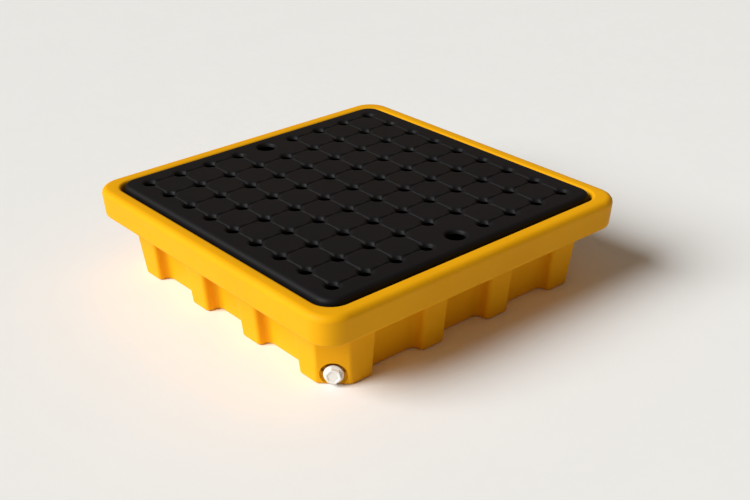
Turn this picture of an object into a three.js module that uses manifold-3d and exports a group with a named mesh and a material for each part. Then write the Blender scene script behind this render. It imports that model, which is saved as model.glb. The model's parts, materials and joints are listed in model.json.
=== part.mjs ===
// A square spill containment pallet: a one-piece plastic sump tray with a hollow rim and footed, fluted
// walls, a perforated deck that lifts out of it, and a drain with a screw plug in one corner.
// Millimetres, +Z up. The origin is on the floor under the middle of the tray. The sides face X and Y.
import * as THREE from "three";
import { mergeVertices } from "three/addons/utils/BufferGeometryUtils.js";
import Module from "manifold-3d";

const wasm = await Module();
wasm.setup();

// ---- Driving dimensions -------------------------------------------------------------------------

const side = 600; // the rim, outside, along X and along Y
const height = 150; // from the floor to the deck's top
const wall = 5; // the tray's moulded wall and floor
const gap = 0.3; // between pieces that touch

// Rim
const deckProud = 5; // the deck stands this far above the rim
const rimWidth = 26; // from the rim's outer face to the inner one
const rimDepth = 48; // from the rim's top to its underside
const rimTaper = 3; // the outer face draws in by this much towards the underside
const rimOuterRound = 10; // outer top edge
const rimInnerRound = 6; // inner top edge
const rimUnderRound = 5; // outer lower edge
const rimCorner = 42; // corner radius in plan
const ventRadius = 3; // drains the hollow rim, one on each side

// Lower body
const overhang = 42.4; // from the rim's outer face in to the feet, at the floor
const faceDraft = THREE.MathUtils.degToRad(6); // feet and recess walls lean out upwards
const flankDraft = THREE.MathUtils.degToRad(1.6); // the feet widen upwards
const cornerFoot = 75.7; // along each side, its cut corner included
const cornerCut = 35.4; // each leg of the cut corner
const middleFoot = 45.9; // each of the two feet between the corner feet
const middleRecess = 88.8; // between those two
const middleInset = 22; // how deep that recess is
const sideInset = 18; // how deep the two outer recesses are
const footRound = 8; // the feet's upright edges

// Columns on the sump floor, under the deck
const columnSpan = 3; // between column centres, in hole pitches
const columnFootRadius = 28;
const columnTopRadius = 19;

// Deck
const deckGap = 5.5; // between the deck and the rim
const deckSkin = 6;
const deckSkirt = 5;
const deckRound = 9; // top edge
const deckCorner = 26; // corner radius in plan
const ribThickness = 4;
const holePitch = 57.9;
const holeMargin = 30; // least distance from a hole's centre to the deck's edge
const holeTopRadius = 13;
const holeRadius = 9;
const fingerTopRadius = 19;
const fingerRadius = 15;

// Drain in the cut corner at +X, -Y
const drainHeight = 17.5; // its axis above the floor
const pocketRadius = 20;
const pocketDepth = 2; // at the floor, and deeper above, because the wall leans out
const bossWall = 5; // round the insert
const insertRadius = 13;
const insertLength = 12;
const insertGrip = 1.5; // the ring that holds the insert in the wall stands out this far
const threadRadius = 10.5; // a half-inch pipe thread, plain
const gasketRadius = 13.6;
const gasketThickness = 2;
const flangeRadius = 14.5;
const flangeThickness = 3;
const headAcrossFlats = 21;
const headLength = 6;
const headTurn = THREE.MathUtils.degToRad(30); // turns one of the head's edges to point down

const quarterTurn = Math.PI / 2;
const roundSteps = 2; // facets on a foot's upright edge
const cornerSteps = 3; // facets on half of a plan corner
const holeSteps = 8; // facets round a deck hole
const pinSteps = 24; // facets round a drain piece

// ---- Heights and half sizes that follow from them ------------------------------------------------

const half = side / 2;
const rimTop = height - deckProud;
const rimUnder = rimTop - rimDepth;
const ledge = rimUnder + wall; // carries the deck
const rimInner = half - rimWidth;
const footFace = half - overhang;
const deckHalf = rimInner - deckGap;
const deckUnder = ledge + gap;
const innerCorner = deckCorner + deckGap;

// Holes stand on a square grid that is centred on the deck, with as many rows as fit.
const holeRows = 2 * Math.floor((deckHalf - holeMargin) / holePitch) + 1;
const lastHole = ((holeRows - 1) / 2) * holePitch;
const rows = Array.from({ length: holeRows }, (_, i) => i * holePitch - lastHole);
const ribLines = rows.slice(1).map((at) => at - holePitch / 2);
const columnAt = (columnSpan * holePitch) / 2;

// ---- Shape helpers -------------------------------------------------------------------------------

/** A closed geometry as a solid that can be joined and cut. */
function solid(geometry) {
  const bare = new THREE.BufferGeometry();
  bare.setAttribute("position", geometry.getAttribute("position"));
  bare.setIndex(geometry.index);
  const merged = mergeVertices(bare);
  const mesh = new wasm.Mesh({
    numProp: 3,
    vertProperties: merged.getAttribute("position").array,
    triVerts: new Uint32Array(merged.index.array),
  });
  return new wasm.Manifold(mesh);
}

/** The solids in a list joined into one. */
function joined(solids) {
  return solids.reduce((all, next) => all.add(next));
}

/** A box from its lowest to its highest corner. */
function box(low, high) {
  const size = high.map((value, i) => value - low[i]);
  const centre = high.map((value, i) => (value + low[i]) / 2);
  return solid(new THREE.BoxGeometry(...size).translate(...centre));
}

/** A solid of revolution about Z, from [radius, z] points that start and end on the axis. */
function turned(profile, steps) {
  const points = profile.map(([radius, z]) => new THREE.Vector2(radius, z));
  return new THREE.LatheGeometry(points, steps).rotateX(Math.PI / 2);
}

/** A solid whose outline changes with height: sections of { z, outline }, lowest first. */
function loft(sections) {
  const count = sections[0].outline.length;
  const top = (sections.length - 1) * count;
  const positions = sections.flatMap(({ z, outline }) => outline.flatMap(({ x, y }) => [x, y, z]));
  const cap = (section) => THREE.ShapeUtils.triangulateShape(section.outline, []);
  const index = cap(sections[0]).flatMap(([a, b, c]) => [c, b, a]);
  index.push(...cap(sections.at(-1)).flatMap((face) => face.map((corner) => corner + top)));
  for (let ring = 0; ring < top; ring += count) {
    for (let i = 0; i < count; i++) {
      const next = (i + 1) % count;
      index.push(ring + i, ring + next, ring + next + count);
      index.push(ring + i, ring + next + count, ring + i + count);
    }
  }
  const geometry = new THREE.BufferGeometry();
  geometry.setAttribute("position", new THREE.Float32BufferAttribute(positions, 3));
  return geometry.setIndex(index);
}

/** The same points on all four sides: a side's points, and three copies turned about the centre. */
function onFourSides(points) {
  const centre = new THREE.Vector2();
  return [0, 1, 2, 3].flatMap((quarter) =>
    points.map(([x, y]) => new THREE.Vector2(x, y).rotateAround(centre, quarter * quarterTurn)),
  );
}

/** A rounded square's outline, anticlockwise. */
function roundedSquare(halfSize, radius) {
  const shape = new THREE.Shape();
  const centre = halfSize - radius;
  onFourSides([[centre, centre]]).forEach(({ x, y }, quarter) => {
    shape.absarc(x, y, radius, quarter * quarterTurn, (quarter + 1) * quarterTurn);
  });
  return shape.getPoints(cornerSteps);
}

/** A solid of rounded squares, from [half size, z] points: the corner grows and shrinks with them. */
function squareLoft(profile, halfSize, radius) {
  return solid(
    loft(profile.map(([at, z]) => ({ z, outline: roundedSquare(at, radius + at - halfSize) }))),
  );
}

/** A rounded edge as [half size, z] points about a middle, from one quarter turn's angle to another. */
function roundedEdge(middle, z, radius, fromQuarter, toQuarter) {
  return [0, 0.5, 1].map((part) => {
    const angle = THREE.MathUtils.lerp(fromQuarter, toQuarter, part) * quarterTurn;
    return [middle + radius * Math.cos(angle), z + radius * Math.sin(angle)];
  });
}

// ---- Sump tray -----------------------------------------------------------------------------------

/**
 * The lower body's outline, anticlockwise, when the feet's faces are at face and the feet are narrower
 * by flank on each flank. The same feet stand on all four sides, and the corners are cut at cut.
 */
function footedOutline(face, flank, cut) {
  const cornerEdge = footFace - cornerFoot + flank;
  const middleEdge = middleRecess / 2 + flank;
  const outerEdge = middleRecess / 2 + middleFoot - flank;
  const right = [
    [face, cornerEdge],
    [face - sideInset, cornerEdge],
    [face - sideInset, outerEdge],
    [face, outerEdge],
    [face, middleEdge],
    [face - middleInset, middleEdge],
  ];
  const left = right.map(([x, y]) => [x, -y]);
  const oneSide = [[face, cut - face], ...left, ...right.reverse(), [face, face - cut]];
  const outline = onFourSides(oneSide);
  const round = Math.min(footRound, sideInset / 2, middleInset / 2) - gap;
  const shape = new THREE.Shape();
  outline.forEach((corner, i) => {
    const before = outline.at(i - 1);
    const after = outline[(i + 1) % outline.length];
    const start = before.clone().sub(corner).setLength(round).add(corner);
    const end = after.clone().sub(corner).setLength(round).add(corner);
    if (i === 0) shape.moveTo(start.x, start.y);
    else shape.lineTo(start.x, start.y);
    shape.quadraticCurveTo(corner.x, corner.y, end.x, end.y);
  });
  return shape.getPoints(roundSteps);
}

/** The lower body between two heights, drawn in by a wall's thickness where it is the cavity. */
function footedBody(low, high, inward) {
  const section = (z) => {
    const face = footFace + z * Math.tan(faceDraft) - inward;
    const flank = inward - z * Math.tan(flankDraft);
    return { z, outline: footedOutline(face, flank, cornerCut - (2 - Math.SQRT2) * inward) };
  };
  return solid(loft([section(low), section(high)]));
}

/** The rim's outside: a tapered band with a rounded upper and lower edge. */
function rimOutside(inward) {
  const round = Math.max(rimOuterRound - inward, 1);
  const under = Math.max(rimUnderRound - inward, 1);
  const profile = [
    ...roundedEdge(half - rimTaper - inward - under, rimUnder + inward + under, under, -1, 0),
    ...roundedEdge(half - inward - round, rimTop - inward - round, round, 0, 1),
  ];
  return squareLoft(profile, half, rimCorner);
}

/** The opening inside the rim, down to the ledge that carries the deck. */
function rimOpening() {
  const profile = [
    [rimInner, ledge],
    ...roundedEdge(rimInner + rimInnerRound, rimTop - rimInnerRound, rimInnerRound, 2, 1),
    [rimInner + rimInnerRound, height],
  ];
  return squareLoft(profile, rimInner, innerCorner);
}

/** The hollow that runs round inside the rim. */
function rimHollow() {
  const core = [
    [rimInner + wall, rimUnder],
    [rimInner + wall, rimTop],
  ];
  return rimOutside(wall).subtract(squareLoft(core, rimInner, innerCorner));
}

/** Holes in the rim's underside, one in the middle of each side, that open its hollow. */
function rimVents() {
  const out = half - rimWidth / 2;
  const vent = turned([[0, 0], [ventRadius, 0], [ventRadius, 2 * wall], [0, 2 * wall]], holeSteps);
  const low = rimUnder - wall / 2;
  return joined(onFourSides([[out, 0]]).map(({ x, y }) => solid(vent.clone().translate(x, y, low))));
}

/** The four tapered columns on the floor of the sump, or the spaces inside them. */
function columns(inward) {
  const foot = columnFootRadius - inward;
  const profile = [[0, 0], [foot, 0], [columnTopRadius - inward, ledge - inward], [0, ledge - inward]];
  const column = turned(profile, pinSteps);
  return joined(
    onFourSides([[columnAt, columnAt]]).map(({ x, y }) => solid(column.clone().translate(x, y, 0))),
  );
}

// The drain's own frame: origin on the floor of its pocket, +Z out of the tray.
const drainOut = Math.SQRT2 * (footFace - cornerCut / 2) - pocketDepth;
const drainAxis = new THREE.Vector3(Math.SQRT1_2, -Math.SQRT1_2, 0);
const drain = new THREE.Group();
drain.position.copy(drainAxis).multiplyScalar(drainOut).setZ(drainHeight);
drain.quaternion.setFromUnitVectors(new THREE.Vector3(0, 0, 1), drainAxis);
drain.updateMatrix();

/** A round solid on the drain's axis, in the tray's frame. */
function onDrain(profile) {
  return solid(turned(profile, pinSteps).applyMatrix4(drain.matrix));
}

function sumpTray() {
  const bossLength = insertLength + wall / 2;
  const bossRadius = insertRadius + insertGrip + bossWall;
  const boss = onDrain([[0, -bossLength], [bossRadius, -bossLength], [bossRadius, 0], [0, 0]]);
  const aboveFloor = box([0, -side, 0], [side, 0, height]);
  const pocket = onDrain([[0, 0], [pocketRadius, 0], [pocketRadius, side], [0, side]]);
  const seat = onDrain([
    [0, -2 * bossLength],
    [threadRadius + gap, -2 * bossLength],
    [threadRadius + gap, -insertLength - gap],
    [insertRadius + gap, -insertLength - gap],
    ...insertRing(gap),
    [insertRadius + gap, pocketDepth],
    [0, pocketDepth],
  ]);
  return rimOutside(0)
    .add(footedBody(0, ledge, 0))
    .subtract(footedBody(wall, rimTop, wall))
    .subtract(rimOpening())
    .add(columns(0))
    .add(boss.intersect(aboveFloor))
    .subtract(rimHollow())
    .subtract(rimVents())
    .subtract(columns(wall))
    .subtract(pocket)
    .subtract(seat);
}

// ---- Deck ----------------------------------------------------------------------------------------

/** A hole through the deck's skin at x, y, wider at the top. */
function deckHole(x, y, topRadius, radius) {
  const low = height - 2 * deckSkin;
  const profile = [[0, low], [radius, low], [radius, height - deckSkin], [topRadius, height]];
  profile.push([topRadius, height + gap], [0, height + gap]);
  return solid(turned(profile, holeSteps).rotateZ(Math.PI / holeSteps).translate(x, y, 0));
}

function deckGrate() {
  const outside = squareLoft(
    [[deckHalf, deckUnder], ...roundedEdge(deckHalf - deckRound, height - deckRound, deckRound, 0, 1)],
    deckHalf,
    deckCorner,
  );
  const within = deckHalf - deckSkirt;
  const below = deckUnder - deckSkin;
  const ribs = ribLines.flatMap((at) => [
    box([at - ribThickness / 2, -half, below], [at + ribThickness / 2, half, height]),
    box([-half, at - ribThickness / 2, below], [half, at + ribThickness / 2, height]),
  ]);
  const hollow = squareLoft(
    [[within, below], [within, height - deckSkin]],
    within,
    deckCorner - deckSkirt,
  ).subtract(joined(ribs));
  // The two holes at the ends of the middle row along X are wider, as finger holes to lift the deck.
  const holes = rows.flatMap((x) =>
    rows.map((y) =>
      Math.abs(x) > lastHole - gap && Math.abs(y) < gap
        ? deckHole(x, y, fingerTopRadius, fingerRadius)
        : deckHole(x, y, holeTopRadius, holeRadius),
    ),
  );
  return outside.subtract(hollow).subtract(joined(holes));
}

// ---- Drain pieces, in the drain's frame -----------------------------------------------------------

/** The ring round the insert that locks it in the wall, as [radius, z] points with a clearance. */
function insertRing(clearance) {
  const radius = insertRadius + clearance;
  const middle = -insertLength / 2;
  const reach = insertLength / 6 + clearance;
  return [
    [radius, middle - reach],
    [radius + insertGrip, middle - reach],
    [radius + insertGrip, middle + reach],
    [radius, middle + reach],
  ];
}

function drainInsert() {
  const bore = threadRadius + gap;
  const profile = [[bore, -insertLength], [insertRadius, -insertLength], ...insertRing(0)];
  profile.push([insertRadius, 0], [bore, 0], [bore, -insertLength]);
  return turned(profile, pinSteps);
}

function plugGasket() {
  const bore = threadRadius + gap;
  const top = gap + gasketThickness;
  return turned([[bore, gap], [gasketRadius, gap], [gasketRadius, top], [bore, top], [bore, gap]], pinSteps);
}

function drainPlug() {
  const seat = gasketThickness + 2 * gap;
  const face = seat + flangeThickness;
  const shank = solid(
    turned(
      [[0, -insertLength], [threadRadius, -insertLength], [threadRadius, seat], [flangeRadius, seat],
        [flangeRadius, face], [0, face]],
      pinSteps,
    ),
  );
  const headRadius = headAcrossFlats / Math.sqrt(3);
  const head = new THREE.CylinderGeometry(headRadius, headRadius, headLength + 1, 6)
    .rotateX(Math.PI / 2)
    .rotateZ(headTurn)
    .translate(0, 0, face + (headLength - 1) / 2);
  return shank.add(solid(head));
}

// ---- The assembly --------------------------------------------------------------------------------

const yellowPlastic = { color: 0xf2b413, roughness: 0.45, metalness: 0 };
const blackPlastic = { color: 0x232224, roughness: 0.55, metalness: 0 };
const whitePlastic = { color: 0xf0eee8, roughness: 0.3, metalness: 0 };
const greyPlastic = { color: 0xb9b8b2, roughness: 0.5, metalness: 0 };
const blackRubber = { color: 0x1a1a1a, roughness: 0.8, metalness: 0 };

/** A named mesh from a geometry or from a solid. */
function piece(name, shape, material) {
  let geometry = shape;
  if (!shape.isBufferGeometry) {
    const { vertProperties, triVerts } = shape.getMesh();
    geometry = new THREE.BufferGeometry();
    geometry.setAttribute("position", new THREE.BufferAttribute(vertProperties, 3));
    geometry.setIndex(new THREE.BufferAttribute(triVerts, 1));
    geometry.computeVertexNormals();
  }
  const mesh = new THREE.Mesh(geometry, new THREE.MeshStandardMaterial(material));
  mesh.name = name;
  return mesh;
}

drain.add(
  piece("drain_insert", drainInsert(), greyPlastic),
  piece("plug_gasket", plugGasket(), blackRubber),
  piece("drain_plug", drainPlug(), whitePlastic),
);

const pallet = new THREE.Group();
pallet.add(
  piece("sump_tray", sumpTray(), yellowPlastic),
  piece("deck_grate", deckGrate(), blackPlastic),
  drain,
);

export default pallet;
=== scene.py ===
# %% [markdown]
# # A spill containment pallet
# Drums and cans stand on a black deck full of holes, and what they spill runs down into a yellow tray.
# The real one is very few pieces: a tray moulded in one go, a deck that drops into it, and a drain with
# a screw plug in one corner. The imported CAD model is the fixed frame, in metres, and every piece here is
# modelled in that same frame, so nothing has to be fitted afterwards.

import json
import math

import bmesh
import bpy
from mathutils import Matrix, Vector


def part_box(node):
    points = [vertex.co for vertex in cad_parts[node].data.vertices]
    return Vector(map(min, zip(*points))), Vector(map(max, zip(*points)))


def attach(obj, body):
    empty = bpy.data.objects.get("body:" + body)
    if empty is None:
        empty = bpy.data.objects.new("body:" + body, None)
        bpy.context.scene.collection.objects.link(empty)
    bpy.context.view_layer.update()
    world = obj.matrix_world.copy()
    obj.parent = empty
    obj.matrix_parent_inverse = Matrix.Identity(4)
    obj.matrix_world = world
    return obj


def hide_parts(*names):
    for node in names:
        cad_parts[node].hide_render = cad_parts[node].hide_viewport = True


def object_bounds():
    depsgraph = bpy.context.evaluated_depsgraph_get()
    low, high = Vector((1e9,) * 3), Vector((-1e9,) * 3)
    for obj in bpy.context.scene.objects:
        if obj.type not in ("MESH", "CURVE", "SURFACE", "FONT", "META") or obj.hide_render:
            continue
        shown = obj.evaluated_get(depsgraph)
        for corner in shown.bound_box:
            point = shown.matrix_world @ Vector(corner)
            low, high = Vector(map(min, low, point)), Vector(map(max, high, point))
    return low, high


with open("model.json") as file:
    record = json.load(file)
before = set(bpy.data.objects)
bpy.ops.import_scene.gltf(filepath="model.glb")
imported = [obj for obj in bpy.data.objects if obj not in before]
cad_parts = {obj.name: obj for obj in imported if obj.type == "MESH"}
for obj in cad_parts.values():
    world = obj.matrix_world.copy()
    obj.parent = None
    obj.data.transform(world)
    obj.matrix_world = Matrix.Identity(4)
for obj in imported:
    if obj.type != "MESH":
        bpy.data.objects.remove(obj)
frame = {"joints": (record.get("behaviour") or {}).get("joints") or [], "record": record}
cad_low, cad_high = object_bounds()
mm = 0.001
near = 0.01 * mm
print("CAD box in metres:", [round(size, 4) for size in cad_high - cad_low])

# %% [markdown]
# ## Camera
# The camera looks down at one corner, with a longish lens that keeps the sides straight.
# The camera could be aimed with a constraint, but its angles are clearer as three turns in a row: the
# roll about its own axis, then the tilt, then the walk round the object. A small shift of the lens
# frames the object without turning the camera.

# %% Camera
azimuth, elevation, roll = (math.radians(angle) for angle in (50.25, 25.74, -0.95))
camera_distance = 1.943
camera_target = Vector((0, 0, cad_high.z / 2))
camera_data = bpy.data.cameras.new("camera")
camera = bpy.data.objects.new("camera", camera_data)
bpy.context.scene.collection.objects.link(camera)
bpy.context.scene.camera = camera
camera_data.sensor_width = 36
camera_data.lens = 57.83
camera_data.shift_x, camera_data.shift_y = 0.0282, -0.0273
camera_turn = Matrix.Rotation(azimuth, 4, "Z")
camera_turn @= Matrix.Rotation(math.pi / 2 - elevation, 4, "X")
camera_turn @= Matrix.Rotation(roll, 4, "Z")
camera_out = camera_turn @ Matrix.Translation((0, 0, camera_distance))
camera.matrix_world = Matrix.Translation(camera_target) @ camera_out
print("camera at", [round(at, 3) for at in camera.matrix_world.translation])

# %% [markdown]
# ## Working by hand, in code
# Each piece starts as a primitive, is opened in edit mode and is shaped by the same operators that a
# person would click. An operator acts on whatever is selected, so two helpers carry the whole file: one
# starts a piece with nothing else selected, and one picks faces, edges or vertices by where they are.
# Every edge of a moulded piece is rounded, so a third gives a quarter round as steps to extrude by.

# %% Start a piece, and pick parts of it
def begin(name, primitive, **settings):
    """Adds a primitive at its size and place, puts its place into its mesh, and opens it in edit mode."""
    bpy.ops.object.select_all(action="DESELECT")
    primitive(**settings)
    bpy.ops.object.transform_apply(location=True, rotation=True, scale=True)
    piece = bpy.context.object
    piece.name = name
    bpy.ops.object.mode_set(mode="EDIT")
    return piece


def pick(kind, test):
    """Selects only the verts, edges or faces that pass the test, and returns the numbers of the verts."""
    mode = {"verts": "VERT", "edges": "EDGE", "faces": "FACE"}[kind]
    bpy.ops.mesh.select_mode(type=mode)
    bpy.ops.mesh.select_all(action="DESELECT")
    shape = bmesh.from_edit_mesh(bpy.context.object.data)
    for part in getattr(shape, kind):
        if test(part):
            part.select_set(True)
    shape.select_flush_mode()
    bmesh.update_edit_mesh(bpy.context.object.data)
    return picked()


def picked():
    """The numbers of the selected verts, with their places."""
    shape = bmesh.from_edit_mesh(bpy.context.object.data)
    shape.verts.index_update()
    return {vert.index: vert.co.copy() for vert in shape.verts if vert.select}


def move(x=0, y=0, z=0):
    bpy.ops.transform.translate(value=(x, y, z))


def scale(x, y, z, centre=(0, 0, 0)):
    bpy.ops.transform.resize(value=(x, y, z), center_override=centre)


def round_points(radius, steps):
    """Points (across, along) on a quarter round that leaves flat, across first, and ends upright."""
    turns = [math.pi / 2 * step / steps for step in range(steps + 1)]
    return [(radius * math.sin(turn), radius * (1 - math.cos(turn))) for turn in turns]


def quarter(radius, steps):
    """The steps (across, along) from each point of a quarter round to the next."""
    points = round_points(radius, steps)
    return [(b[0] - a[0], b[1] - a[1]) for a, b in zip(points, points[1:])]


four_sides = ((1, 0), (0, 1), (-1, 0), (0, -1))
four_corners = ((1, 1), (-1, 1), (-1, -1), (1, -1))


# %% [markdown]
# ## The tray's lower body
# The tray stands on twelve hollow feet, four on each side with the corner ones shared, and its wall
# steps in and out round them. The same shape is needed twice: once outside, and once five millimetres
# further in as the sump. It could be a curve with a bevel, but every corner here is rounded and every
# wall leans. So one flat outline is cut from a plane, its corners are rounded, and then the face is inset
# and pushed down step by step: a round, the leaning wall, and the round at the floor.

# %% Sizes of the lower body
tray_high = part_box("sump_tray")[1]
deck_low, deck_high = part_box("deck_grate")
tray_half = tray_high.x
rim_top = tray_high.z
wall = 5 * mm
rim_under = rim_top - 48 * mm
ledge = rim_under + wall
foot_face = tray_half - 42.4 * mm
face_draft = math.radians(6)
flank_draft = math.radians(1.6)
flank_lines = (44.4 * mm, 90.3 * mm, 181.9 * mm)
middle_inset = 22 * mm
side_inset = 18 * mm
corner_cut = 35.4 * mm
print("feet stand", round(foot_face / mm, 1), "mm from the middle, under a rim of", round(tray_half / mm, 1))


def foot_sizes(height, inward):
    """The outline at a height, drawn in by a wall: the feet's face, the flanks' lines and the cut's leg."""
    face = foot_face + height * math.tan(face_draft) - inward
    flank = height * math.tan(flank_draft) - inward
    flanks = [line + way * flank for line, way in zip(flank_lines, (-1, 1, -1))]
    return face, flanks, corner_cut - (2 - math.sqrt(2)) * inward


# %% Cut the footed outline from a plane
def cut_line(axis, place, test):
    """Cuts the faces that pass the test along one straight line across the given axis."""
    pick("faces", test)
    normal = [0, 0, 0]
    normal[axis] = 1
    through = [place if i == axis else 0 for i in range(3)]
    bpy.ops.mesh.bisect(plane_co=through, plane_no=normal)


def footed_outline(name, height, face, flanks, cut):
    """One flat face with the tray's footed outline, sharp at its corners."""
    piece = begin(name, bpy.ops.mesh.primitive_plane_add, size=2 * face, location=(0, 0, height))
    pick("verts", lambda vert: True)
    bpy.ops.mesh.bevel(offset=cut, segments=1, affect="VERTICES")
    a, b, c = flanks
    for axis in (0, 1):
        for line in (a, b, c, -a, -b, -c):
            cut_line(axis, line, lambda part: True)

    def recess(part, axis, low, high, inset):
        at = part.calc_center_median()
        return low <= abs(at[1 - axis]) < high and abs(at[axis]) > face - inset

    for axis in (0, 1):
        for low, high, inset in ((0, a, middle_inset), (b, c, side_inset)):
            for sign in (1, -1):
                cut_line(
                    axis,
                    sign * (face - inset),
                    lambda part: low <= abs(part.calc_center_median()[1 - axis]) < high
                    and sign * part.calc_center_median()[axis] > c,
                )
            pick("faces", lambda part: recess(part, axis, low, high, inset))
            bpy.ops.mesh.delete(type="FACE")
    pick("faces", lambda part: True)
    bpy.ops.mesh.dissolve_limited(angle_limit=math.radians(1))
    return piece


# %% Shape a pan from the outline
round_steps = 4


def round_outline(face, flanks, cut, convex, concave):
    """Rounds the outline's corners: the feet's outer ones, the ones at the recess walls, and the cuts."""
    def ends(vert, reach, sizes):
        return any(
            abs(abs(vert.co[axis]) - size) < near and abs(abs(vert.co[1 - axis]) - reach) < near
            for axis in (0, 1)
            for size in sizes
        )

    a, b, c = flanks
    pick("verts", lambda vert: ends(vert, face, (a, b, c)))
    bpy.ops.mesh.bevel(offset=convex, segments=round_steps, affect="VERTICES")
    pick("verts", lambda vert: ends(vert, face - side_inset, (b, c)) or ends(vert, face - middle_inset, (a,)))
    bpy.ops.mesh.bevel(offset=concave, segments=round_steps, affect="VERTICES")
    pick("verts", lambda vert: ends(vert, face, (face - cut,)))
    bpy.ops.mesh.bevel(offset=convex * math.tan(math.pi / 8), segments=round_steps, affect="VERTICES")


def lean(floor, flanks, drop):
    """Leans the walls above a floor that was pushed straight down: its sides come in and its feet narrow."""
    # Past the first reach a vert belongs to a side, and within the second of a flank's line to that flank.
    side_reach = (flanks[2] + foot_face) / 2 - 15 * mm
    flank_reach = 12 * mm
    for axis in (0, 1):
        for sign in (1, -1):
            pick("verts", lambda vert: vert.index in floor and sign * floor[vert.index][axis] > side_reach)
            way = [0, 0]
            way[axis] = -sign * drop * math.tan(face_draft)
            move(*way)
            for line, turn in zip(flanks, (1, -1, 1)):
                pick("verts", lambda vert: vert.index in floor
                     and abs(sign * floor[vert.index][axis] - line) < flank_reach)
                way[axis] = sign * turn * drop * math.tan(flank_draft)
                move(*way)
    pick("verts", lambda vert: vert.index in floor)


def pan(name, top, bottom, inward, edge_round, floor_round, convex, concave):
    """An open shell: a round over the edge at the top, leaning footed walls, and a round into the floor."""
    upper = top - edge_round
    face, flanks, cut = foot_sizes(upper, inward - edge_round)
    piece = footed_outline(name, top, face, flanks, cut)
    round_outline(face, flanks, cut, convex + edge_round, concave - edge_round)
    pick("faces", lambda part: True)
    for across, down in quarter(edge_round, round_steps):
        bpy.ops.mesh.inset(thickness=across, depth=-down)
    drop = upper - bottom - floor_round
    bpy.ops.mesh.extrude_region_move(TRANSFORM_OT_translate={"value": (0, 0, -drop)})
    floor = picked()
    lean(floor, foot_sizes(upper, inward)[1], drop)
    bpy.ops.mesh.select_mode(type="FACE")
    for down, across in reversed(quarter(floor_round, round_steps)):
        bpy.ops.mesh.inset(thickness=down, depth=-across)
    bpy.ops.object.mode_set(mode="OBJECT")
    print(name, len(piece.data.vertices), "verts")
    return piece


tray = pan("tray", top=rim_under, bottom=0, inward=0,
           edge_round=7 * mm, floor_round=4 * mm, convex=7 * mm, concave=10 * mm)
sump_inside = pan("sump_inside", top=ledge, bottom=wall, inward=wall,
                  edge_round=3 * mm, floor_round=5 * mm, convex=6 * mm, concave=7 * mm)

# %% [markdown]
# ## The rim
# The rim is a hollow band as wide as a thumb, softly rounded all round, that stiffens the tray and hides
# the deck's edge. A curve with a bevel profile would do it, but the inner and outer corners have
# different centres, so the two faces of the band are each extruded from a rounded square, ring by ring:
# a step outwards grows the corner arcs about their own centres, so that they stay true arcs. The two
# stacks of rings and the two pans then meet in three flat rings, which the fill operator closes. The
# band's hollow is out of sight once it is closed, so it is left out here.

# %% A rounded square, and a step from one ring to the next
corner_steps = 10


def rounded_square(name, half, radius, height, steps=corner_steps):
    """A ring with arcs for corners, left selected in edit mode."""
    piece = begin(name, bpy.ops.mesh.primitive_plane_add, size=2 * half, location=(0, 0, height))
    pick("verts", lambda vert: True)
    bpy.ops.mesh.bevel(offset=radius, segments=steps, affect="VERTICES")
    bpy.ops.mesh.select_all(action="SELECT")
    bpy.ops.mesh.delete(type="ONLY_FACE")
    bpy.ops.mesh.select_all(action="SELECT")
    return piece


def ring_step(centre, out, up):
    """Extrudes the selected ring. Corners grow about (centre, centre), and straight sides move out."""
    bpy.ops.mesh.extrude_edges_move(TRANSFORM_OT_translate={"value": (0, 0, up)})
    ring = picked()
    reach = max(place.x for place in ring.values())
    grow = (reach + out - centre) / (reach - centre)
    beyond = centre - near
    for x, y in four_corners:
        pick("verts", lambda vert: vert.index in ring
             and x * ring[vert.index].x > beyond and y * ring[vert.index].y > beyond)
        scale(grow, grow, 1, (x * centre, y * centre, 0))
    for axis in (0, 1):
        for sign in (1, -1):
            side = pick("verts", lambda vert: vert.index in ring
                        and sign * ring[vert.index][axis] > beyond
                        and abs(ring[vert.index][1 - axis]) < beyond)
            if side:
                move(*(sign * out if i == axis else 0 for i in range(2)))
    pick("verts", lambda vert: vert.index in ring)


# %% The rim's two faces
rim_inner = tray_half - 26 * mm
rim_taper = 3 * mm
under_round, outer_round, inner_round, ledge_round = 5 * mm, 10 * mm, 6 * mm, 3 * mm
outer_centre = tray_half - 42 * mm
inner_centre = rim_inner - 31.5 * mm

first_ring = tray_half - rim_taper - under_round
rim_outside = rounded_square("rim_outside", first_ring, first_ring - outer_centre, rim_under)
for out, up in quarter(under_round, round_steps):
    ring_step(outer_centre, out, up)
ring_step(outer_centre, rim_taper, rim_top - rim_under - under_round - outer_round)
for up, out in quarter(outer_round, round_steps):
    ring_step(outer_centre, -out, up)
bpy.ops.object.mode_set(mode="OBJECT")

first_ring = rim_inner - ledge_round
rim_inside = rounded_square("rim_inside", first_ring, first_ring - inner_centre, ledge)
for out, up in quarter(ledge_round, 3):
    ring_step(inner_centre, out, up)
ring_step(inner_centre, 0, rim_top - ledge - ledge_round - inner_round)
for up, out in quarter(inner_round, round_steps):
    ring_step(inner_centre, out, up)
bpy.ops.object.mode_set(mode="OBJECT")

# %% Join the tray's four shells
def open_edges(height):
    """Picks the open edges that lie at a height."""
    return pick("edges", lambda edge: edge.is_boundary
                and all(abs(vert.co.z - height) < near for vert in edge.verts))


def join(piece, *others):
    """Joins the others into the piece, and opens it in edit mode."""
    bpy.ops.object.select_all(action="DESELECT")
    for part in (piece, *others):
        part.select_set(True)
    bpy.context.view_layer.objects.active = piece
    bpy.ops.object.join()
    bpy.ops.object.mode_set(mode="EDIT")


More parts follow.
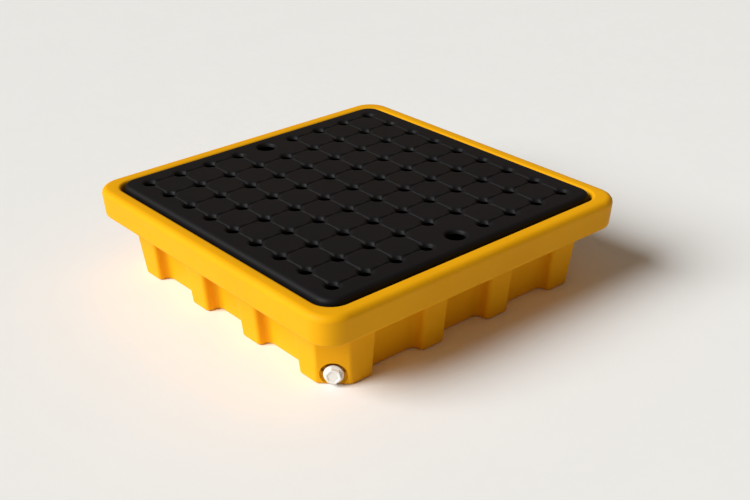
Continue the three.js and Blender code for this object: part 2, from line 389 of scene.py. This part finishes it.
def close_up(piece):
    """Merges doubles, turns the faces outwards, leaves edit mode and says whether the shell is closed."""
    bpy.ops.mesh.select_all(action="SELECT")
    bpy.ops.mesh.remove_doubles(threshold=near)
    bpy.ops.mesh.normals_make_consistent(inside=False)
    bpy.ops.object.mode_set(mode="OBJECT")
    shape = bmesh.new()
    shape.from_mesh(piece.data)
    loose = sum(not edge.is_manifold for edge in shape.edges)
    volume = round(shape.calc_volume() / mm**3)
    print(piece.name, len(shape.faces), "faces,", loose, "open edges,", volume, "mm3")
    shape.free()


join(tray, sump_inside, rim_outside, rim_inside)
for height in (rim_under, ledge, rim_top):
    open_edges(height)
    bpy.ops.mesh.fill(use_beauty=True)
close_up(tray)

# %% [markdown]
# ## Columns, drain and vents
# Under the deck, four tapered columns rise from the sump floor to carry it, hollow from below as a
# moulded wall is. A boss inside one cut corner holds the drain, and a round pocket outside keeps its plug
# clear of knocks. All of these are round, so each is a circle extruded along a profile, and a boolean
# then joins it to the tray or cuts it away, which keeps the tray one closed skin. The columns are alike,
# and so are the vents under the rim, so each is modelled once and its copies are put in place. The boss
# is first cut off inside the floor's thickness: two faces in one plane are what a boolean can't settle.

# %% Turn a profile into a piece
def turned(name, profile, sides=48):
    """A circle extruded along (radius, height) points. It closes on itself, or is capped at both ends."""
    closes = profile[0] == profile[-1]
    radius, height = profile[0]
    piece = begin(name, bpy.ops.mesh.primitive_circle_add, vertices=sides, radius=radius,
                  location=(0, 0, height), fill_type="NOTHING" if closes else "NGON")
    bpy.ops.mesh.select_all(action="SELECT")
    for (r0, z0), (r1, z1) in zip(profile, profile[1:]):
        bpy.ops.mesh.extrude_edges_move(TRANSFORM_OT_translate={"value": (0, 0, z1 - z0)})
        scale(r1 / r0, r1 / r0, 1)
    if not closes:
        bpy.ops.mesh.edge_face_add()
    close_up(piece)
    return piece


def combine(piece, tool, operation):
    """Joins the tool to the piece, or cuts it away, and removes the tool."""
    modifier = piece.modifiers.new(operation.lower(), "BOOLEAN")
    modifier.operation = operation
    modifier.object = tool
    modifier.solver = "EXACT"
    bpy.context.view_layer.objects.active = piece
    bpy.ops.object.modifier_apply(modifier=modifier.name)
    bpy.data.objects.remove(tool, do_unlink=True)


def place(piece, matrix):
    """Puts a piece where the matrix says, with its place in its mesh."""
    bpy.ops.object.select_all(action="DESELECT")
    piece.select_set(True)
    bpy.context.view_layer.objects.active = piece
    piece.matrix_world = matrix
    bpy.ops.object.transform_apply(location=True, rotation=True, scale=True)
    return piece


def copied(piece, *spot):
    """A copy with its own mesh, moved to a spot on the floor."""
    twin = piece.copy()
    twin.data = piece.data.copy()
    bpy.context.scene.collection.objects.link(twin)
    return place(twin, Matrix.Translation((*spot, 0)))


# %% Columns
hole_pitch = 57.9 * mm
column_at = 1.5 * hole_pitch
column_foot, column_top = 28 * mm, 19 * mm


def column_profile(foot, top, low, high, root, crown):
    """A leaning side with a flared root and a rounded crown, as (radius, height) points."""
    slope = (foot - top) / (high - low)
    profile = [(foot + root - across, low + up) for across, up in round_points(root, round_steps)]
    profile.append((top + crown * slope, high - crown))
    profile += [(top - inward, high - crown + up) for up, inward in round_points(crown, round_steps)]
    return profile


column = turned("column", column_profile(column_foot, column_top, wall - near, ledge, 4 * mm, 2 * mm))
column_socket = turned("column_socket", column_profile(column_foot - wall, column_top - wall,
                                                       -wall, ledge - wall, wall, 2 * mm))
for x, y in four_corners:
    combine(tray, copied(column, x * column_at, y * column_at), "UNION")
    combine(tray, copied(column_socket, x * column_at, y * column_at), "DIFFERENCE")
for pattern in (column, column_socket):
    bpy.data.objects.remove(pattern)
print("tray", len(tray.data.polygons), "faces with its columns")

# %% Drain boss and pocket
plug_joint = next(joint for joint in frame["joints"] if joint["name"] == "plug_turn")
drain_axis = Vector(plug_joint["axis"]).normalized()
drain_turn = Vector((0, 0, 1)).rotation_difference(drain_axis).to_matrix().to_4x4()
drain_frame = Matrix.Translation(plug_joint["pos_m"]) @ drain_turn
thread_radius = 10.5 * mm
insert_radius, insert_length = 13 * mm, 12 * mm
gap = 0.3 * mm
boss_radius, boss_length = 19.5 * mm, 14.5 * mm
pocket_radius, pocket_round = 20 * mm, 2 * mm

boss = turned("drain_boss", [(boss_radius - 2 * mm, -boss_length), (boss_radius, -boss_length + 2 * mm),
                             (boss_radius, -wall / 2)])
place(boss, drain_frame)
below = begin("below_boss", bpy.ops.mesh.primitive_cube_add, size=tray_half,
              location=(tray_half, -tray_half, (wall - tray_half) / 2))
bpy.ops.object.mode_set(mode="OBJECT")
combine(boss, below, "DIFFERENCE")
combine(tray, boss, "UNION")
pocket = [(pocket_radius - pocket_round, 0), (pocket_radius - 0.3 * pocket_round, 0.3 * pocket_round),
          (pocket_radius, pocket_round), (pocket_radius, 20 * mm)]
combine(tray, place(turned("drain_pocket", pocket), drain_frame), "DIFFERENCE")
seat = [(thread_radius + gap, -20 * mm), (thread_radius + gap, -insert_length - gap),
        (insert_radius + gap, -insert_length - gap), (insert_radius + gap, 5 * mm)]
combine(tray, place(turned("insert_seat", seat), drain_frame), "DIFFERENCE")

# %% Vents
vent_radius = 3 * mm
vent_at = tray_half - 13 * mm
vent = turned("vent", [(vent_radius, rim_under - wall), (vent_radius, rim_under + 4 * wall)], 24)
for x, y in four_sides:
    combine(tray, copied(vent, x * vent_at, y * vent_at), "DIFFERENCE")
bpy.data.objects.remove(vent)
print("tray", len(tray.data.polygons), "faces")

# %% [markdown]
# ## The deck
# The deck is a thick plate with a hole at every crossing of a square grid, dished at the top so that a
# spill runs in, and with a shallow groove from each hole to the next. From below it is an egg crate of
# ribs. Cutting 81 holes with booleans is slow and leaves ragged faces. The plate repeats, so one square
# tile is modelled instead, with its dished hole, its grooves and its pocket between half ribs, and its
# copies are set side by side and merged. A groove needs a neighbour to run to, so tiles differ in which
# of their four arms are cut, and the two larger finger holes have none. The pocket of a corner tile is
# drawn in at one corner, to stay inside the deck's rounded corner.

# %% Sizes of the deck
deck_top, deck_under = deck_high.z, deck_low.z
deck_half = deck_high.x
deck_skin = 6 * mm
tile_half = hole_pitch / 2
rib_half = 2 * mm
holes_each_way = 4
groove_depth = 2.2 * mm
hole_lip, hole_bore = 15.5 * mm, 9 * mm
finger_lip, finger_bore = 20.5 * mm, 15 * mm
hole_sides = 32
groove_taper = 2 * mm / (tile_half * math.tan(math.tau / hole_sides))
print("tile", round(2 * tile_half / mm, 1), "mm square, groove", round(groove_depth / mm, 1), "mm deep")


# %% One tile
def square_off(half):
    """Flattens the selected ring onto a square: each vert moves out to the side that it looks at."""
    ring = picked()
    for x, y in four_sides:
        def faces_side(spot):
            return abs(spot.x * y) + abs(spot.y * x) <= spot.x * x + spot.y * y + near

        pick("verts", lambda vert: vert.index in ring and faces_side(ring[vert.index]))
        scale(0 if x else 1, 0 if y else 1, 1, (x * half, y * half, 0))
    pick("verts", lambda vert: vert.index in ring)


def hole_edge(radius):
    """Picks the ring of edges at the hole's edge."""
    return pick("edges", lambda edge: all(vert.co.xy.length < radius + near for vert in edge.verts))


# Each ring of the dish: its share of the way from the lip to the bore, a depth as a share of the skin,
# and whether the ring is flattened at that depth, which ends the grooves, or drops by it as it is.
dish_rings = ((0.3, 0.05, False), (0.6, 0.15, False), (0.85, 0.5, True), (1, 1, True))


def deck_tile(name, arms, lip, bore, cut_corner):
    """A tile with a dished hole in its middle, grooves along its arms, and a pocket underneath."""
    tile = begin(name, bpy.ops.mesh.primitive_circle_add, vertices=hole_sides, radius=lip,
                 location=(0, 0, deck_top))
    bpy.ops.mesh.select_all(action="SELECT")
    bpy.ops.mesh.extrude_edges_move()
    scale(hole_lip / lip, hole_lip / lip, 1)
    square_off(tile_half)
    for x, y in arms:
        pick("verts", lambda vert: vert.co.x * x + vert.co.y * y > tile_half - near
             and abs(vert.co.x * y + vert.co.y * x) < hole_bore)
        scale(groove_taper if y else 1, groove_taper if x else 1, 1, (0, 0, 0))
        pick("verts", lambda vert: vert.co.x * x + vert.co.y * y > 0
             and abs(vert.co.x * y + vert.co.y * x) < near)
        move(z=-groove_depth)
    hole_edge(lip)
    reach = lip
    for share, depth, flat in dish_rings:
        radius = lip + share * (bore - lip)
        bpy.ops.mesh.extrude_edges_move()
        scale(radius / reach, radius / reach, 1)
        if flat:
            scale(1, 1, 0, (0, 0, deck_top - depth * deck_skin))
        else:
            move(z=-depth * deck_skin)
        reach = radius
    bpy.ops.mesh.extrude_edges_move()
    scale(hole_lip / bore, hole_lip / bore, 1)
    square_off(tile_half - rib_half)
    pocket_depth = deck_top - deck_skin - deck_under
    bpy.ops.mesh.extrude_edges_move(TRANSFORM_OT_translate={"value": (0, 0, -pocket_depth)})
    bpy.ops.mesh.extrude_edges_move()
    square_off(tile_half)
    if cut_corner:
        x, y = cut_corner
        pocket_half = tile_half - rib_half
        pick("verts", lambda vert: abs(vert.co.x - x * pocket_half)
             + abs(vert.co.y - y * pocket_half) < near)
        move(-x * pocket_half / 4, -y * pocket_half / 4)
    bpy.ops.object.mode_set(mode="OBJECT")
    return tile


# %% Lay the tiles
def is_finger(column, row):
    return abs(column) == holes_each_way and row == 0


def has_hole(column, row):
    return max(abs(column), abs(row)) <= holes_each_way and not is_finger(column, row)


patterns = {}
tiles = []
span = range(-holes_each_way, holes_each_way + 1)
for column in span:
    for row in span:
        finger = is_finger(column, row)
        arms = tuple((x, y) for x, y in four_sides if not finger and has_hole(column + x, row + y))
        corner = abs(column) == abs(row) == holes_each_way
        cut_corner = (column // holes_each_way, row // holes_each_way) if corner else None
        kind = (arms, finger, cut_corner)
        if kind not in patterns:
            lip, bore = (finger_lip, finger_bore) if finger else (hole_lip, hole_bore)
            patterns[kind] = deck_tile("tile", arms, lip, bore, cut_corner)
        tiles.append(copied(patterns[kind], column * hole_pitch, row * hole_pitch))
for pattern in patterns.values():
    bpy.data.objects.remove(pattern)
print(len(tiles), "tiles of", len(patterns), "patterns")

# %% [markdown]
# ## The deck's edge
# The tiles end in a square field, but the deck has round corners and a soft edge, and its skirt reaches
# down to the ledge in the tray. Scaling the outer tiles would bend their grooves. So the field's own
# corners are rounded first, and its open edge is then extruded outwards and down, ring by ring, as the
# rim was.

# %% Merge the tiles, and round the field's corners
deck = tiles[0]
deck.name = "deck"
join(deck, *tiles[1:])
bpy.ops.mesh.select_all(action="SELECT")
bpy.ops.mesh.remove_doubles(threshold=near)
field_half = (holes_each_way + 0.5) * hole_pitch
deck_centre = deck_half - 26 * mm
pick("edges", lambda edge: all(abs(abs(vert.co.x) - abs(vert.co.y)) < near for vert in edge.verts)
     and any(abs(abs(vert.co.x) - field_half) < near for vert in edge.verts))
bpy.ops.mesh.dissolve_edges(use_verts=False)
pick("verts", lambda vert: all(abs(abs(at) - field_half) < near for at in vert.co.xy))
bpy.ops.mesh.bevel(offset=field_half - deck_centre, segments=6, affect="VERTICES")

# %% The deck's edge, and its skirt
open_edges(deck_top)
edge_round = deck_half - field_half
foot_round = 1 * mm
for out, down in quarter(edge_round, 5):
    ring_step(deck_centre, out, -down)
ring_step(deck_centre, 0, deck_under - deck_top + edge_round + foot_round)
ring_step(deck_centre, -foot_round, -foot_round)
ring_step(deck_centre, foot_round - edge_round, 0)
close_up(deck)

# %% [markdown]
# ## The drain pieces
# A drain is three small turned parts: a threaded insert moulded into the wall, a rubber gasket, and a
# white plug whose flange squeezes the gasket when its hexagonal head is turned with a spanner. Each is
# modelled upright at the origin, where its profile is easy to read, and is then placed in the drain's
# own frame, which comes from the plug's joint. The plug's thread is a real helix: the Screw modifier
# sweeps a small three-sided section round the shank, so that it shows when the plug is undone.

# %% Sizes of the drain pieces
gasket_radius, gasket_thickness = 13.6 * mm, 2 * mm
flange_radius, flange_thickness = 14.5 * mm, 3 * mm
head_across, head_length = 21 * mm, 6 * mm
thread_pitch = math.tau * frame["record"]["behaviour"]["couplings"][0]["ratio"]
flange_under = gasket_thickness + 2 * gap
flange_top = flange_under + flange_thickness
print("thread pitch", round(thread_pitch / mm, 3), "mm")


# %% Insert and gasket
def bevel_edges(piece, width, steps):
    """Rounds the sharp edges of a finished shape."""
    modifier = piece.modifiers.new("edges", "BEVEL")
    modifier.width = width
    modifier.segments = steps
    modifier.limit_method = "ANGLE"
    modifier.angle_limit = math.radians(40)
    bpy.context.view_layer.objects.active = piece
    bpy.ops.object.modifier_apply(modifier=modifier.name)


bore = thread_radius + gap
ring_half = insert_length / 6
insert_profile = [(bore, -insert_length), (insert_radius, -insert_length),
                  (insert_radius, -insert_length / 2 - ring_half),
                  (insert_radius + 1.5 * mm, -insert_length / 2 - ring_half),
                  (insert_radius + 1.5 * mm, -insert_length / 2 + ring_half),
                  (insert_radius, -insert_length / 2 + ring_half),
                  (insert_radius, 0), (bore, 0), (bore, -insert_length)]
insert = turned("drain_insert_ring", insert_profile, 64)
bevel_edges(insert, 0.3 * mm, 2)

gasket_top = gap + gasket_thickness
gasket = turned("gasket", [(bore, gap), (gasket_radius, gap), (gasket_radius, gasket_top),
                           (bore, gasket_top), (bore, gap)], 64)
bevel_edges(gasket, 0.6 * mm, 3)

# %% Plug
core_radius = thread_radius - 1.1 * mm
plug = turned("plug", [(core_radius - 0.8 * mm, -insert_length), (core_radius, -insert_length + 0.8 * mm),
                       (core_radius, flange_under), (flange_radius, flange_under),
                       (flange_radius, flange_top - 1 * mm), (flange_radius - 1 * mm, flange_top)], 64)
head = begin("plug_head", bpy.ops.mesh.primitive_cylinder_add, vertices=6, radius=head_across / math.sqrt(3),
             depth=head_length + 1 * mm, location=(0, 0, flange_top + (head_length - 1 * mm) / 2))
pick("faces", lambda part: part.calc_center_median().z > flange_top + head_length - near)
bpy.ops.mesh.inset(thickness=2.6 * mm)
bpy.ops.mesh.inset(thickness=0.6 * mm, depth=-1 * mm)
bpy.ops.object.mode_set(mode="OBJECT")
combine(plug, head, "UNION")
bevel_edges(plug, 0.5 * mm, 3)

thread_turns, thread_depth = 5, 1 * mm
thread = begin("plug_thread", bpy.ops.mesh.primitive_circle_add, vertices=3, radius=thread_depth)
bpy.ops.object.mode_set(mode="OBJECT")
start = Matrix.Translation((thread_radius - thread_depth, 0, 1.2 * mm - insert_length))
place(thread, start @ Matrix.Rotation(math.pi / 2, 4, "X") @ Matrix.Rotation(-math.pi / 2, 4, "Z"))
sweep = thread.modifiers.new("sweep", "SCREW")
sweep.screw_offset = thread_pitch
sweep.iterations = thread_turns
sweep.steps = sweep.render_steps = 40
bpy.ops.object.modifier_apply(modifier=sweep.name)
bpy.ops.object.mode_set(mode="EDIT")
pick("edges", lambda edge: edge.is_boundary)
bpy.ops.mesh.fill_holes(sides=3)
close_up(thread)
combine(plug, thread, "UNION")

# %% [markdown]
# ## Shading
# Moulded plastic has flat faces that meet in small rounds. Plain smooth shading would bend the light
# across the flat faces too, so each piece is smoothed by angle, and a Weighted Normal modifier then lets
# the large faces keep their own direction and leaves all the turning to the rounds.

# %% Smooth every piece
def smooth(piece, angle=38):
    bpy.ops.object.select_all(action="DESELECT")
    piece.select_set(True)
    bpy.context.view_layer.objects.active = piece
    bpy.ops.object.shade_smooth_by_angle(angle=math.radians(angle))
    modifier = piece.modifiers.new("weighted", "WEIGHTED_NORMAL")
    modifier.keep_sharp = True
    modifier.weight = 80
    bpy.ops.object.modifier_apply(modifier=modifier.name)


for part in (insert, gasket, plug):
    place(part, drain_frame)
for part in (tray, deck, insert, gasket, plug):
    smooth(part)
    print(part.name, len(part.data.polygons), "faces")

# %% [markdown]
# ## Finishes
# All of it is polymer, but no two alike. The tray is rotationally moulded polyethylene: waxy, deep in
# colour, with the faint orange peel of the mould. The deck is a stiffer black plastic with a fine matt
# grain. One function builds both, from three noise patterns at three scales: a slow drift of colour, a
# drift of gloss, and the grain as a bump. The patterns use Object coordinates, so they stay in place.

# %% Shader nodes
def node(material, kind, **inputs):
    """A shader node with its sockets set."""
    made = material.node_tree.nodes.new(kind)
    for socket, value in inputs.items():
        made.inputs[socket.replace("_", " ")].default_value = value
    return made


def noise(material, places, scale_per_metre, detail):
    """A noise pattern on Object coordinates, with so many lumps to the metre."""
    pattern = node(material, "ShaderNodeTexNoise", Scale=scale_per_metre, Detail=detail)
    material.node_tree.links.new(places.outputs["Object"], pattern.inputs["Vector"])
    return pattern.outputs["Fac"]


def spread(material, value, low, high):
    """Maps the middle of a noise pattern to a range."""
    mapped = node(material, "ShaderNodeMapRange", From_Min=0.3, From_Max=0.7, To_Min=low, To_Max=high)
    material.node_tree.links.new(value, mapped.inputs["Value"])
    return mapped.outputs["Result"]


# %% Plastic
def plastic(name, colour, second_colour, gloss, grain, grain_height, **sockets):
    """Moulded plastic: two close colours, gloss between two roughnesses, and grain per metre."""
    material = bpy.data.materials.new(name)
    material.use_nodes = True
    link = material.node_tree.links.new
    shader = material.node_tree.nodes["Principled BSDF"]
    for socket, value in sockets.items():
        shader.inputs[socket.replace("_", " ")].default_value = value
    places = node(material, "ShaderNodeTexCoord")
    mix = node(material, "ShaderNodeMixRGB", Color1=(*colour, 1), Color2=(*second_colour, 1))
    link(spread(material, noise(material, places, 7, 3), 0, 1), mix.inputs["Fac"])
    link(mix.outputs["Color"], shader.inputs["Base Color"])
    link(spread(material, noise(material, places, 45, 4), *gloss), shader.inputs["Roughness"])
    bump = node(material, "ShaderNodeBump", Strength=0.5, Distance=grain_height)
    link(noise(material, places, grain, 2), bump.inputs["Height"])
    link(bump.outputs["Normal"], shader.inputs["Normal"])
    return material


# %% Give each piece its finish
def finish(piece, material, body, node_name):
    """Gives a piece its finish and its body, and hides the CAD node that it stands for."""
    piece.data.materials.clear()
    piece.data.materials.append(material)
    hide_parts(node_name)
    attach(piece, body)


yellow = plastic("yellow_polyethylene", (0.86, 0.405, 0.004), (0.82, 0.375, 0.003), (0.45, 0.58),
                 420, 0.12 * mm, Specular_IOR_Level=0.08)
black = plastic("black_plastic", (0.0075, 0.0068, 0.0076), (0.006, 0.0056, 0.0062), (0.5, 0.6),
                2200, 0.05 * mm, Specular_IOR_Level=0.16)
white = plastic("white_plastic", (0.86, 0.85, 0.82), (0.82, 0.81, 0.78), (0.2, 0.28), 700, 0.02 * mm)
grey = plastic("grey_plastic", (0.42, 0.42, 0.40), (0.38, 0.38, 0.37), (0.35, 0.45), 900, 0.02 * mm)
rubber = plastic("black_rubber", (0.012, 0.012, 0.012), (0.018, 0.017, 0.017), (0.7, 0.85), 3000, 0.04 * mm)
finish(tray, yellow, "tray", "sump_tray")
finish(deck, black, "deck", "deck_grate")
finish(insert, grey, "tray", "drain_insert")
finish(gasket, rubber, "gasket", "plug_gasket")
finish(plug, white, "plug", "drain_plug")
print("finishes:", [material.name for material in (yellow, black, white, grey, rubber)])

# %% [markdown]
# ## Studio
# The floor is a plain pale sheet. One broad soft light, as from a window, stands in front and to the
# left, so that one side of the tray is bright and the other turns amber in its own shade. It could be an
# area lamp, but a sun with a wide angle is as soft and lights every part of the object alike. A weak warm
# sky fills in the rest.

# %% Floor
floor = begin("studio_floor", bpy.ops.mesh.primitive_plane_add, size=14)
bpy.ops.mesh.subdivide(number_cuts=3)
bpy.ops.object.mode_set(mode="OBJECT")
floor_paint = plastic("floor_paint", (0.91, 0.91, 0.91), (0.9, 0.9, 0.9), (0.6, 0.7), 300, 0.01 * mm)
floor.data.materials.append(floor_paint)

# %% Lights
window_direction = Vector((-0.33, -0.94, 0.75))
lamp = bpy.data.lights.new("window_light", "SUN")
lamp.energy = 4.1
lamp.color = (0.97, 1, 1)
lamp.angle = math.radians(40)
window = bpy.data.objects.new("window_light", lamp)
bpy.context.scene.collection.objects.link(window)
window.matrix_world = window_direction.to_track_quat("Z", "Y").to_matrix().to_4x4()

# %% Sky
sky_strength = 0.18
world = bpy.data.worlds.new("studio")
bpy.context.scene.world = world
world.use_nodes = True
sky = world.node_tree.nodes["Background"]
sky.inputs["Color"].default_value = (1, 0.8, 0.6, 1)
sky.inputs["Strength"].default_value = sky_strength
bpy.context.scene.view_settings.view_transform = "Standard"
print("light from", [round(at, 2) for at in window_direction], "and a sky of", sky_strength)
